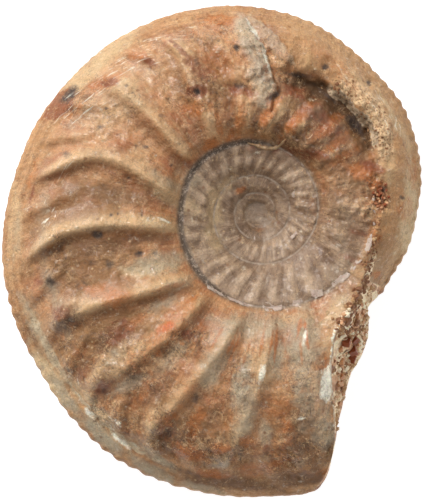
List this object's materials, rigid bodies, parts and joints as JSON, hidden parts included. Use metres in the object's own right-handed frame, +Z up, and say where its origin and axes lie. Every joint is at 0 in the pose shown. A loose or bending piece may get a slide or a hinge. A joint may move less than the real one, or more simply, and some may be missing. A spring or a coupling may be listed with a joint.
{
  "type": "fossil ammonite",
  "caption": "Flat coiled fossil ammonite of the cardioceras kind, with forward-bent ribs, a toothed keel, a stepped umbilicus and a broken end; rests on one flank as a display specimen.",
  "frame": {"origin": "middle of the fossil's box in plan, on the surface it lies on", "axes": "+Z up out of the flank that faces up, +Y along the longest measure of the coil, +X to the right with the broken end at the lower right"},
  "size_m": [0.0505, 0.0593, 0.0169],
  "materials": {
    "stone": "satin"
  },
  "bodies": {
    "root": {"ammonite": "stone"}
  },
  "joints": []
}
